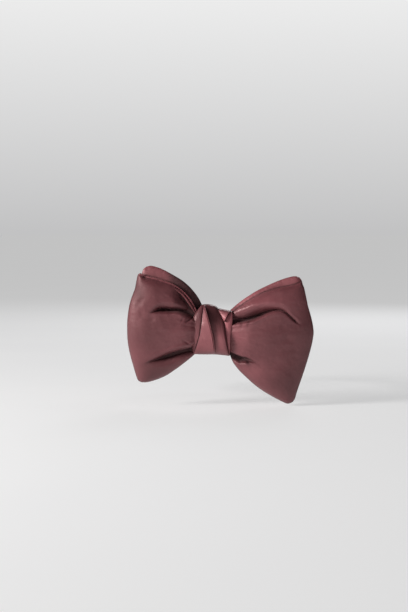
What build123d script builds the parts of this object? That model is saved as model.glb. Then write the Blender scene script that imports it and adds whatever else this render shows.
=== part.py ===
from build123d import *
import math
import os

os.makedirs("parts", exist_ok=True)

# A padded satin bow tie on an adjustable neckband.
# Frame: +Z up, -Y out of the front of the bow, +X to the viewer's right.
# Origin: centre of the knot's flat back face, which rests on the shirt collar.
# "Depth" below is measured from that face towards the front, so y = -depth.

# ---------------------------------------------------------------- dimensions
gap = 0.3  # air between neighbouring cloth pieces

# knot
knot_w = 27.0  # along X
knot_top = 18.0
knot_bottom = -17.5
knot_depth = 20.5
wrap_wall = 1.2
waist_half = 12.5  # half height of the gathered waists inside the knot
pad_w = 24.0

# depths of the layers, from the collar outwards
back_rear = (5.5, 6.3, 6.9)  # outer face, inner face of the sheet, end of the turned rim
back_lining = (7.1, 7.6)
back_face = (9.5, 8.7, 7.8)
front_rear = (9.8, 10.6, 11.4)
front_lining = (11.6, 12.1)
front_face = (18.6, 17.7, 12.3)
sheet = 0.8  # thickness of a panel, cloth and its fusing
rim = 1.0  # width of the turned seam round a wing

# neckband
neck_inner = 60.6  # radius of the neck opening, 381 mm round
band_t = 1.2
band_h = 15.0
band_z = -3.0
band_front = 3.7  # depth of the band's middle line behind the knot
Rb = neck_inner + band_t / 2
yc = -band_front + Rb  # centre of the neck opening
wire = 0.6  # radius of the round bars of the hardware
bar_clear = 0.08
turn = wire + bar_clear + band_t / 2  # middle line radius of the cloth round a bar
a_eye = 60.0  # angle of the eye's bar round the neck, from the front, towards +X
closure = 24.0  # from the eye's bar to the hook's bar
r_piv = Rb + turn
a_hook = a_eye + 2 * math.degrees(math.asin(closure / 2 / r_piv))
a_slide = a_hook + 24.0  # the slider's sewn bar at rest
r_bar = Rb + 3 * turn
arm_z = (band_h / 2 + 0.4, band_h / 2 + 1.8)


def polar(a, r):
    """A point at angle a round the neck and radius r."""
    return (r * math.sin(math.radians(a)), yc - r * math.cos(math.radians(a)))


def ring_arc(a0, a1, r):
    """Middle line along the neck from angle a0 to a1."""
    return ThreePointArc(polar(a0, r), polar((a0 + a1) / 2, r), polar(a1, r))


def ring_sector(a0, a1, r0, r1):
    """A closed sector outline between two radii."""
    ring_arc(a0, a1, r0)
    Line(polar(a1, r0), polar(a1, r1))
    ring_arc(a1, a0, r1)
    Line(polar(a0, r1), polar(a0, r0))


def fold_outline(a, r, s):
    """Half ring of cloth turned round a bar at angle a and radius r, bulging
    towards larger (s = 1) or smaller (s = -1) angles."""
    cx, cy = polar(a, r)
    q = math.radians(a)
    nx, ny = math.sin(q), -math.cos(q)
    tx, ty = s * math.cos(q), s * math.sin(q)
    ro, ri = turn + band_t / 2, turn - band_t / 2
    ThreePointArc((cx - ro * nx, cy - ro * ny), (cx + ro * tx, cy + ro * ty), (cx + ro * nx, cy + ro * ny))
    Line((cx + ro * nx, cy + ro * ny), (cx + ri * nx, cy + ri * ny))
    ThreePointArc((cx + ri * nx, cy + ri * ny), (cx + ri * tx, cy + ri * ty), (cx - ri * nx, cy - ri * ny))
    Line((cx - ri * nx, cy - ri * ny), (cx - ro * nx, cy - ro * ny))


def front_plane(depth):
    """A plane parallel to the front of the bow, drawn in X and Z."""
    return Plane.XZ.offset(depth)


def local_plane(a, r, z=0.0):
    """A plan view plane at a point of the band: x along the band, y outwards."""
    px, py = polar(a, r)
    t = math.radians(a)
    return Plane(origin=(px, py, z), x_dir=(math.cos(t), math.sin(t), 0), z_dir=(0, 0, -1))


# outlines of the wings in X, Z: top edge, side, lower edge, from the knot and back
front_left = [
    [(-14.0, 17.4), (-15.4, 20.4), (-22.4, 28.4), (-32.2, 34.3), (-44.8, 38.2), (-49.5, 40.2)],
    [(-49.5, 40.2), (-51.6, 38.6), (-53.9, 29.4), (-57.6, 17.0), (-59.4, 1.0), (-58.4, -13.0), (-55.3, -26.0), (-52.5, -33.6)],
    [(-52.5, -33.6), (-49.6, -36.4), (-44.8, -36.6), (-32.2, -32.2), (-22.4, -25.6), (-14.0, -17.4)],
]
front_right = [
    [(14.0, 15.2), (15.6, 16.2), (23.1, 20.9), (31.5, 25.5), (46.2, 30.0), (59.5, 33.0)],
    [(59.5, 33.0), (63.2, 31.8), (67.2, 16.8), (70.6, 3.0), (70.4, -9.0), (65.8, -25.6), (61.2, -39.2), (58.1, -49.0)],
    [(58.1, -49.0), (54.6, -51.8), (49.4, -50.3), (36.4, -43.4), (23.1, -32.2), (14.0, -18.4)],
]
back_left = [
    [(-14.0, 17.0), (-15.6, 24.6), (-19.6, 31.4), (-27.3, 37.5), (-37.1, 42.6), (-42.7, 44.6)],
    [(-42.7, 44.6), (-46.9, 43.6), (-50.0, 32.0), (-54.5, 16.0), (-56.4, 0.0), (-55.0, -14.0), (-52.0, -26.0), (-49.6, -31.6)],
    [(-49.6, -31.6), (-46.6, -33.6), (-42.6, -33.2), (-31.0, -28.6), (-22.4, -22.6), (-14.0, -16.0)],
]
back_right = [
    [(14.0, 16.4), (16.6, 18.6), (23.1, 22.6), (31.5, 27.6), (46.2, 34.2), (57.4, 37.2)],
    [(57.4, 37.2), (61.9, 35.8), (64.4, 18.0), (67.4, 3.0), (67.0, -9.0), (62.8, -24.6), (58.4, -37.0), (55.4, -45.6)],
    [(55.4, -45.6), (52.2, -47.8), (47.6, -46.0), (35.4, -39.6), (23.1, -29.4), (14.0, -17.0)],
]


def wing_line(w):
    """The closed outline of one wing, with its root against the knot."""
    Polyline(*w[0], *w[1][1:], *w[2][1:], close=True)


# ---------------------------------------------------------------- bow panels
# Each panel is cut in one piece for both wings and the gathered waist, with a
# turned rim where it is sewn to its partner.
with BuildPart() as front_bow_face_panel:
    for w in (front_left, front_right):
        with BuildSketch(front_plane(front_face[2])):
            with BuildLine():
                wing_line(w)
            make_face()
        extrude(amount=front_face[0] - front_face[2])
    chamfer(front_bow_face_panel.faces().sort_by(Axis.Y)[:2].edges(), 1.6)
    for w in (front_left, front_right):
        with BuildSketch(front_plane(front_face[2])):
            with BuildLine():
                wing_line(w)
            make_face()
            offset(amount=-rim)
        extrude(amount=front_face[1] - front_face[2], mode=Mode.SUBTRACT)
    with BuildSketch(front_plane(front_face[2])):
        Rectangle(29.2, 2 * waist_half)
    extrude(amount=sheet)

with BuildPart() as front_bow_rear_panel:
    for w in (front_left, front_right):
        with BuildSketch(front_plane(front_rear[0])):
            with BuildLine():
                wing_line(w)
            make_face()
        extrude(amount=front_rear[2] - front_rear[0])
        with BuildSketch(front_plane(front_rear[1])):
            with BuildLine():
                wing_line(w)
            make_face()
            offset(amount=-rim)
        extrude(amount=front_rear[2] - front_rear[1], mode=Mode.SUBTRACT)
    with BuildSketch(front_plane(front_rear[0])):
        Rectangle(29.2, 2 * waist_half)
    extrude(amount=sheet)

with BuildPart() as front_bow_interlining:
    with BuildSketch(front_plane(front_lining[0])):
        for w in (front_left, front_right):
            with BuildLine():
                wing_line(w)
            make_face()
        Rectangle(29.2, 2 * waist_half)
        offset(amount=-0.4)
    extrude(amount=front_lining[1] - front_lining[0])

with BuildPart() as front_bow_wadding_left:
    with BuildSketch(front_plane(front_face[2] + 0.1)):
        with BuildLine():
            wing_line(front_left)
        make_face()
        offset(amount=-(rim + gap + 0.8))
    extrude(amount=front_face[1] - front_face[2] - 0.1 - gap)

with BuildPart() as front_bow_wadding_right:
    with BuildSketch(front_plane(front_face[2] + 0.1)):
        with BuildLine():
            wing_line(front_right)
        make_face()
        offset(amount=-(rim + gap + 0.8))
    extrude(amount=front_face[1] - front_face[2] - 0.1 - gap)

with BuildPart() as back_bow_face_panel:
    for w in (back_left, back_right):
        with BuildSketch(front_plane(back_face[2])):
            with BuildLine():
                wing_line(w)
            make_face()
        extrude(amount=back_face[0] - back_face[2])
        with BuildSketch(front_plane(back_face[2])):
            with BuildLine():
                wing_line(w)
            make_face()
            offset(amount=-rim)
        extrude(amount=back_face[1] - back_face[2], mode=Mode.SUBTRACT)
    with BuildSketch(front_plane(back_face[2])):
        Rectangle(29.2, 2 * waist_half)
    extrude(amount=sheet)

with BuildPart() as back_bow_rear_panel:
    for w in (back_left, back_right):
        with BuildSketch(front_plane(back_rear[0])):
            with BuildLine():
                wing_line(w)
            make_face()
        extrude(amount=back_rear[2] - back_rear[0])
        with BuildSketch(front_plane(back_rear[1])):
            with BuildLine():
                wing_line(w)
            make_face()
            offset(amount=-rim)
        extrude(amount=back_rear[2] - back_rear[1], mode=Mode.SUBTRACT)
    with BuildSketch(front_plane(back_rear[0])):
        Rectangle(29.2, 2 * waist_half)
    extrude(amount=sheet)

with BuildPart() as back_bow_interlining:
    with BuildSketch(front_plane(back_lining[0])):
        for w in (back_left, back_right):
            with BuildLine():
                wing_line(w)
            make_face()
        Rectangle(29.2, 2 * waist_half)
        offset(amount=-0.4)
    extrude(amount=back_lining[1] - back_lining[0])

# ---------------------------------------------------------------- knot
# Five turns of thread hold both waists together.
thread = 0.8
with BuildPart() as waist_binding_thread:
    for i in range(5):
        x0 = (i - 2) * 1.0 - thread / 2
        with BuildSketch(Plane.YZ.offset(x0)):
            with Locations((-(front_face[2] + sheet + back_rear[0]) / 2, 0)):
                RectangleRounded(front_face[2] + sheet - back_rear[0] + 2 * (0.2 + thread), 2 * (waist_half + 0.2 + thread), 1.4)
                RectangleRounded(front_face[2] + sheet - back_rear[0] + 0.4, 2 * (waist_half + 0.2), 0.7, mode=Mode.SUBTRACT)
        extrude(amount=thread)

with BuildPart() as knot_pad:
    with BuildSketch(Plane.YZ.offset(-pad_w / 2)):
        with Locations((-16.6, 0)):
            RectangleRounded(4.6, 26.0, 2.0)
    extrude(amount=pad_w)
    fillet(knot_pad.faces().filter_by(Axis.X).edges(), 0.8)

# The knot is a doubled strip of satin taken round the waists and the band.
zm = (knot_top + knot_bottom) / 2
hm = knot_top - knot_bottom
with BuildPart() as knot_wrap:
    with BuildSketch(Plane.YZ.offset(-knot_w / 2)):
        with Locations((-knot_depth / 2, zm)):
            Rectangle(knot_depth, hm)
        fillet(vertices().group_by(Axis.X)[0], 7.0)
        fillet(vertices().group_by(Axis.X)[-1], 3.0)
        offset(amount=-wrap_wall, mode=Mode.SUBTRACT)
    extrude(amount=knot_w)
    fillet(knot_wrap.faces().filter_by(Axis.X).edges(), 0.35)

# The strip's end is felled to the back of the knot with small slanted stitches.
with BuildPart() as knot_seam_stitches:
    for i in range(9):
        with BuildSketch(Plane(origin=(-10.4 + i * 2.6, -0.34, -9.4), z_dir=(0.25, 0, 1))):
            Circle(0.3)
        extrude(amount=2.6)

# Four thread tacks fix the band and the back bow inside the knot.
with BuildPart() as neckband_tack_stitches:
    with BuildSketch(front_plane(0.8)):
        with Locations((-5.5, band_z - 4.0), (5.5, band_z - 4.0), (-5.5, band_z + 4.0), (5.5, band_z + 4.0)):
            Circle(0.35)
    extrude(amount=back_rear[1] - 0.8 - 0.1)

# ---------------------------------------------------------------- neckband
# One flat satin tube: doubled back on the eye's bar, behind the knot, round the
# neck, and round the hook's bar.
z0 = band_z - band_h / 2
with BuildPart() as neckband_cover:
    with BuildSketch(Plane.XY.offset(z0)):
        with BuildLine():
            ring_sector(a_eye - 10.0, a_eye, Rb + 2 * turn - band_t / 2, Rb + 2 * turn + band_t / 2)
        make_face()
        with BuildLine():
            fold_outline(a_eye, r_piv, 1)
        make_face()
        with BuildLine():
            ring_sector(a_eye, -90.0, Rb - band_t / 2, Rb + band_t / 2)
        make_face()
        with BuildLine():
            ring_sector(-90.0, a_hook - 360.0, Rb - band_t / 2, Rb + band_t / 2)
        make_face()
        with BuildLine():
            fold_outline(a_hook, r_piv, -1)
        make_face()
        with BuildLine():
            ring_sector(a_hook, a_hook + 3.0, Rb + 2 * turn - band_t / 2, Rb + 2 * turn + band_t / 2)
        make_face()
    extrude(amount=band_h)
    with BuildSketch(Plane.XY.offset(z0 + 0.5)):
        with BuildLine():
            ring_sector(a_eye - 2.0, -90.0, Rb - 0.25, Rb + 0.25)
        make_face()
        with BuildLine():
            ring_sector(-90.0, a_hook - 358.0, Rb - 0.25, Rb + 0.25)
        make_face()
    extrude(amount=band_h - 1.0, mode=Mode.SUBTRACT)

with BuildPart() as neckband_interlining:
    with BuildSketch(Plane.XY.offset(z0 + 0.7)):
        with BuildLine():
            ring_sector(a_eye - 2.4, -90.0, Rb - 0.17, Rb + 0.17)
        make_face()
        with BuildLine():
            ring_sector(-90.0, a_hook - 357.6, Rb - 0.17, Rb + 0.17)
        make_face()
    extrude(amount=band_h - 1.4)

# The doubled run from the hook's bar to the slider.
a_run0 = a_hook + 3.1
a_end = a_slide - 8.0  # where the sewn end begins
a_run1 = a_end - math.degrees(gap / Rb) - 0.1
with BuildPart() as neckband_return_run:
    with BuildSketch(Plane.XY.offset(z0)):
        with BuildLine():
            ring_sector(a_run0, a_run1, Rb + 2 * turn - band_t / 2, Rb + 2 * turn + band_t / 2)
        make_face()
    extrude(amount=band_h)

# The end of the band, sewn round the slider's bar.
with BuildPart() as neckband_sewn_end:
    with BuildSketch(Plane.XY.offset(z0)):
        with BuildLine():
            ring_sector(a_end, a_slide, Rb + 2 * turn - band_t / 2, Rb + 2 * turn + band_t / 2)
        make_face()
        with BuildLine():
            fold_outline(a_slide, r_bar, 1)
        make_face()
        with BuildLine():
            ring_sector(a_end + 0.6, a_slide, Rb + 4 * turn - band_t / 2, Rb + 4 * turn + band_t / 2)
        make_face()
    extrude(amount=band_h)

# Bar tacks through the doubled cloth.
with BuildPart() as eye_fold_stitches:
    for i in range(7):
        with BuildSketch(Plane(origin=(*polar(a_eye - 7.0, Rb - band_t / 2 - 0.1), band_z - 6.0 + 2.0 * i), z_dir=(math.sin(math.radians(a_eye - 7.0)), -math.cos(math.radians(a_eye - 7.0)), 0))):
            Circle(0.28)
        extrude(amount=2 * turn + band_t + 0.2)

with BuildPart() as sewn_end_stitches:
    a_st = a_slide - 5.6
    for i in range(7):
        with BuildSketch(Plane(origin=(*polar(a_st, Rb + 2 * turn - band_t / 2 - 0.1), band_z - 6.0 + 2.0 * i), z_dir=(math.sin(math.radians(a_st)), -math.cos(math.radians(a_st)), 0))):
            Circle(0.28)
        extrude(amount=2 * turn + band_t + 0.2)

# A blank woven tab inside the band at the nape.
a_lab = (192.0, 210.0)
with BuildPart() as label_tab:
    with BuildSketch(Plane.XY.offset(band_z - 5.5)):
        with BuildLine():
            ring_sector(a_lab[0], a_lab[1], Rb - band_t / 2 - 0.55, Rb - band_t / 2 - 0.1)
        make_face()
    extrude(amount=11.0)

with BuildPart() as label_stitches:
    for a in (a_lab[0] + 1.0, a_lab[1] - 1.0):
        for i in range(5):
            with BuildSketch(Plane(origin=(*polar(a, Rb - band_t / 2 - 0.7), band_z - 4.0 + 2.0 * i), z_dir=(math.sin(math.radians(a)), -math.cos(math.radians(a)), 0))):
                Circle(0.25)
            extrude(amount=0.95)

# ---------------------------------------------------------------- hardware
# Plan view planes at the bars: x towards larger angles, y outwards.
chord = (a_eye + a_hook) / 2
ex, ey = polar(a_eye, r_piv)
hx, hy = polar(a_hook, r_piv)
ch = math.radians(chord)
u_dir = (math.cos(ch), math.sin(ch), 0)


def closure_plane(z):
    """Plan plane at the eye's bar: x towards the hook's bar, y outwards."""
    return Plane(origin=(ex, ey, z), x_dir=u_dir, z_dir=(0, 0, -1))


top = band_z + arm_z[1]
full = 2 * arm_z[1]
inner = 2 * arm_z[0]
ring_len = 10.0

with BuildPart() as eye_ring:
    with BuildSketch(closure_plane(top)):
        with Locations((0, 0), (ring_len, 0)):
            Circle(wire)
    extrude(amount=full)
    with BuildSketch(closure_plane(top)):
        with Locations((ring_len / 2, 0)):
            SlotOverall(ring_len + 2 * wire, 2 * wire)
    extrude(amount=arm_z[1] - arm_z[0])
    with BuildSketch(closure_plane(band_z - arm_z[0])):
        with Locations((ring_len / 2, 0)):
            SlotOverall(ring_len + 2 * wire, 2 * wire)
    extrude(amount=arm_z[1] - arm_z[0])
    fillet(eye_ring.faces().filter_by(Axis.Z).sort_by(Axis.Z)[-1].edges(), 0.45)
    fillet(eye_ring.faces().filter_by(Axis.Z).sort_by(Axis.Z)[0].edges(), 0.45)

# The hook: a bar in the band's fold, two arms, a step and a tongue whose prong
# drops through the eye.
prong = (7.4, 8.4)
tongue_n = (0.9, 1.9)
with BuildPart() as hook:
    with BuildSketch(closure_plane(top)):
        with Locations((closure, 0)):
            Circle(wire)
    extrude(amount=full)
    for zt in (top, band_z - arm_z[0]):
        with BuildSketch(closure_plane(zt)):
            with Locations((closure, 0)):
                Circle(wire + 0.35)
            with Locations((closure - 1.9, 0)):
                Rectangle(3.8, 2 * (wire + 0.1))
            with Locations((closure - 3.6, 0.55)):
                Rectangle(1.2, 2.7)
        extrude(amount=arm_z[1] - arm_z[0])
    with BuildSketch(closure_plane(top)):
        with Locations((closure - 3.6, 0.55)):
            Rectangle(1.2, 2.7)
    extrude(amount=full)
    with BuildSketch(closure_plane(band_z + 4.5)):
        with Locations(((prong[0] + closure - 3.0) / 2, (tongue_n[0] + tongue_n[1]) / 2)):
            Rectangle(closure - 3.0 - prong[0], tongue_n[1] - tongue_n[0])
    extrude(amount=9.0)
    with BuildSketch(closure_plane(band_z + 2.5)):
        with Locations(((prong[0] + prong[1]) / 2, (tongue_n[1] - 2.0) / 2)):
            Rectangle(prong[1] - prong[0], tongue_n[1] + 2.0)
    extrude(amount=5.0)

# The slider: a channel that rides on the band, with the round bar that the
# sewn end is taken round.
g = 0.35
r_in = Rb - band_t / 2 - g
with BuildPart() as slider_buckle:
    for zt in (band_z + arm_z[0], band_z - arm_z[1]):
        with BuildSketch(Plane.XY.offset(zt)):
            with BuildLine():
                ring_sector(a_slide - 3.4, a_slide + 7.6, r_in - 0.9, r_bar + wire + 0.3)
            make_face()
            fillet(vertices(), 0.5)
        extrude(amount=arm_z[1] - arm_z[0])
    with BuildSketch(Plane.XY.offset(band_z - arm_z[1])):
        with BuildLine():
            ring_sector(a_slide - 3.2, a_slide - 1.4, r_in - 0.8, r_in)
        make_face()
        with BuildLine():
            ring_sector(a_slide + 5.6, a_slide + 7.4, r_in - 0.8, r_in)
        make_face()
        with BuildLine():
            ring_sector(a_slide + 5.6, a_slide + 7.4, r_bar - wire, r_bar + wire)
        make_face()
    extrude(amount=full)
    with BuildSketch(Plane.XY.offset(band_z - arm_z[1])):
        with Locations(polar(a_slide, r_bar)):
            Circle(wire)
    extrude(amount=full)

# ---------------------------------------------------------------- labels and files
front_bow_face_panel.part.label = "front_bow_face_panel"
export_step(front_bow_face_panel.part, "parts/front_bow_face_panel.step")
front_bow_rear_panel.part.label = "front_bow_rear_panel"
export_step(front_bow_rear_panel.part, "parts/front_bow_rear_panel.step")
front_bow_interlining.part.label = "front_bow_interlining"
export_step(front_bow_interlining.part, "parts/front_bow_interlining.step")
front_bow_wadding_left.part.label = "front_bow_wadding_left"
export_step(front_bow_wadding_left.part, "parts/front_bow_wadding_left.step")
front_bow_wadding_right.part.label = "front_bow_wadding_right"
export_step(front_bow_wadding_right.part, "parts/front_bow_wadding_right.step")
back_bow_face_panel.part.label = "back_bow_face_panel"
export_step(back_bow_face_panel.part, "parts/back_bow_face_panel.step")
back_bow_rear_panel.part.label = "back_bow_rear_panel"
export_step(back_bow_rear_panel.part, "parts/back_bow_rear_panel.step")
back_bow_interlining.part.label = "back_bow_interlining"
export_step(back_bow_interlining.part, "parts/back_bow_interlining.step")
waist_binding_thread.part.label = "waist_binding_thread"
export_step(waist_binding_thread.part, "parts/waist_binding_thread.step")
knot_pad.part.label = "knot_pad"
export_step(knot_pad.part, "parts/knot_pad.step")
knot_wrap.part.label = "knot_wrap"
export_step(knot_wrap.part, "parts/knot_wrap.step")
knot_seam_stitches.part.label = "knot_seam_stitches"
export_step(knot_seam_stitches.part, "parts/knot_seam_stitches.step")
neckband_tack_stitches.part.label = "neckband_tack_stitches"
export_step(neckband_tack_stitches.part, "parts/neckband_tack_stitches.step")
neckband_cover.part.label = "neckband_cover"
export_step(neckband_cover.part, "parts/neckband_cover.step")
neckband_interlining.part.label = "neckband_interlining"
export_step(neckband_interlining.part, "parts/neckband_interlining.step")
neckband_return_run.part.label = "neckband_return_run"
export_step(neckband_return_run.part, "parts/neckband_return_run.step")
neckband_sewn_end.part.label = "neckband_sewn_end"
export_step(neckband_sewn_end.part, "parts/neckband_sewn_end.step")
eye_fold_stitches.part.label = "eye_fold_stitches"
export_step(eye_fold_stitches.part, "parts/eye_fold_stitches.step")
sewn_end_stitches.part.label = "sewn_end_stitches"
export_step(sewn_end_stitches.part, "parts/sewn_end_stitches.step")
label_tab.part.label = "label_tab"
export_step(label_tab.part, "parts/label_tab.step")
label_stitches.part.label = "label_stitches"
export_step(label_stitches.part, "parts/label_stitches.step")
eye_ring.part.label = "eye_ring"
export_step(eye_ring.part, "parts/eye_ring.step")
hook.part.label = "hook"
export_step(hook.part, "parts/hook.step")
slider_buckle.part.label = "slider_buckle"
export_step(slider_buckle.part, "parts/slider_buckle.step")

print("neck centre y", yc, "hook angle", a_hook, "slider angle", a_slide)
print("eye pivot", polar(a_eye, r_piv), "hook pivot", polar(a_hook, r_piv), "slider bar", polar(a_slide, r_bar))
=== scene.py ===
import math

import bmesh
import bpy
import numpy as np
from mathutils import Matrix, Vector, noise
from mathutils.bvhtree import BVHTree


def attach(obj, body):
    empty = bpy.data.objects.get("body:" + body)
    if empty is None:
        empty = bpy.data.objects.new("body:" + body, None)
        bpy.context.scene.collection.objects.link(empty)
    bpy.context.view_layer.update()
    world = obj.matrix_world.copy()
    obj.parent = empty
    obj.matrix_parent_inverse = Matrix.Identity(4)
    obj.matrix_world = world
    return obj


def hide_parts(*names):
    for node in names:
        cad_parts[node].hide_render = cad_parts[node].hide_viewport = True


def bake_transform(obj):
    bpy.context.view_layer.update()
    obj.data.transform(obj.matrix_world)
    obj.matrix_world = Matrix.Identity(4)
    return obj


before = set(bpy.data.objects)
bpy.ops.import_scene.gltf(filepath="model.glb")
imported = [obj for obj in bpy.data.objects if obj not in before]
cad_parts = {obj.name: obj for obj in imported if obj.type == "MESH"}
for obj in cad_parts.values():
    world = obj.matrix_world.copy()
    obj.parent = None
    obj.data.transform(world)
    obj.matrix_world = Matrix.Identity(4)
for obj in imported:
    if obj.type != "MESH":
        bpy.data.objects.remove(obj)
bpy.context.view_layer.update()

MM = 0.001
ROOT = "bow_and_band"

# ------------------------------------------------------------------ small tools


def smoothstep(a, b, x):
    t = np.clip((x - a) / (b - a), 0, 1)
    return t * t * (3 - 2 * t)


def resample(points, n, power=1.0):
    """A smooth curve through the points, n samples evenly spaced along it."""
    p = np.array(points, float)
    q = np.vstack([2 * p[0] - p[1], p, 2 * p[-1] - p[-2]])
    out = []
    for i in range(1, len(q) - 2):
        t = np.linspace(0, 1, 24, endpoint=False)[:, None]
        a, b, c, d = q[i - 1], q[i], q[i + 1], q[i + 2]
        out.append(0.5 * (2 * b + (c - a) * t + (2 * a - 5 * b + 4 * c - d) * t**2 + (3 * b - a - 3 * c + d) * t**3))
    out = np.vstack(out + [p[-1:]])
    s = np.concatenate([[0], np.cumsum(np.linalg.norm(np.diff(out, axis=0), axis=1))])
    w = np.linspace(0, 1, n) if np.isscalar(n) else np.asarray(n)
    return np.stack([np.interp(w * s[-1], s, out[:, k]) for k in range(out.shape[1])], 1)


def along(points, x, z):
    """(signed distance, share of the length, plain distance) of x, z from a line. Positive is to the left of its direction."""
    p = resample(points, 60)
    a, b = p[:-1], p[1:]
    d = b - a
    ll = (d**2).sum(1)
    s = np.concatenate([[0], np.cumsum(np.sqrt(ll))])
    q = np.stack([x.ravel(), z.ravel()], 1)[:, None]
    t = np.clip(((q - a) * d).sum(2) / ll, 0, 1)
    near = a + t[..., None] * d
    dist = np.linalg.norm(q - near, axis=2)
    k = dist.argmin(1)
    i = np.arange(len(k))
    r = q[:, 0] - near[i, k]
    cross = d[k, 0] * r[:, 1] - d[k, 1] * r[:, 0]
    share = (s[k] + t[i, k] * np.sqrt(ll[k])) / s[-1]
    return (np.sign(cross) * dist[i, k]).reshape(x.shape), share.reshape(x.shape), dist[i, k].reshape(x.shape)


def field(x, z, scale, seed, depth=2):
    """Smooth noise over x, z, from about -1 to 1."""
    f = np.empty(x.size)
    for i, (a, b) in enumerate(zip(x.ravel(), z.ravel())):
        f[i] = noise.fractal((a * scale, b * scale, seed), 1.0, 2.0, depth)
    return f.reshape(x.shape)


def new_object(name, verts, faces, material, uvs=None, smooth=True):
    me = bpy.data.meshes.new(name)
    me.from_pydata([tuple(v) for v in verts], [], faces)
    me.update()
    if uvs is not None:
        layer = me.uv_layers.new(name="Cloth")
        loops = np.empty(len(me.loops), int)
        me.loops.foreach_get("vertex_index", loops)
        layer.data.foreach_set("uv", np.asarray(uvs, np.float32)[loops].ravel())
    me.polygons.foreach_set("use_smooth", [smooth] * len(me.polygons))
    o = bpy.data.objects.new(name, me)
    bpy.context.scene.collection.objects.link(o)
    me.materials.append(material)
    return o


def put_fold(o, values, name="fold"):
    a = o.data.attributes.new(name, "FLOAT", "POINT")
    a.data.foreach_set("value", np.asarray(values, np.float32).ravel())


def outward(o):
    bm = bmesh.new()
    bm.from_mesh(o.data)
    bmesh.ops.recalc_face_normals(bm, faces=bm.faces)
    bm.to_mesh(o.data)
    bm.free()


# ------------------------------------------------------------------ materials


def nodes_of(name):
    m = bpy.data.materials.new(name)
    m.use_nodes = True
    nt = m.node_tree
    nt.nodes.clear()
    out = nt.nodes.new("ShaderNodeOutputMaterial")
    p = nt.nodes.new("ShaderNodeBsdfPrincipled")
    nt.links.new(p.outputs["BSDF"], out.inputs["Surface"])
    return m, nt, p


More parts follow.
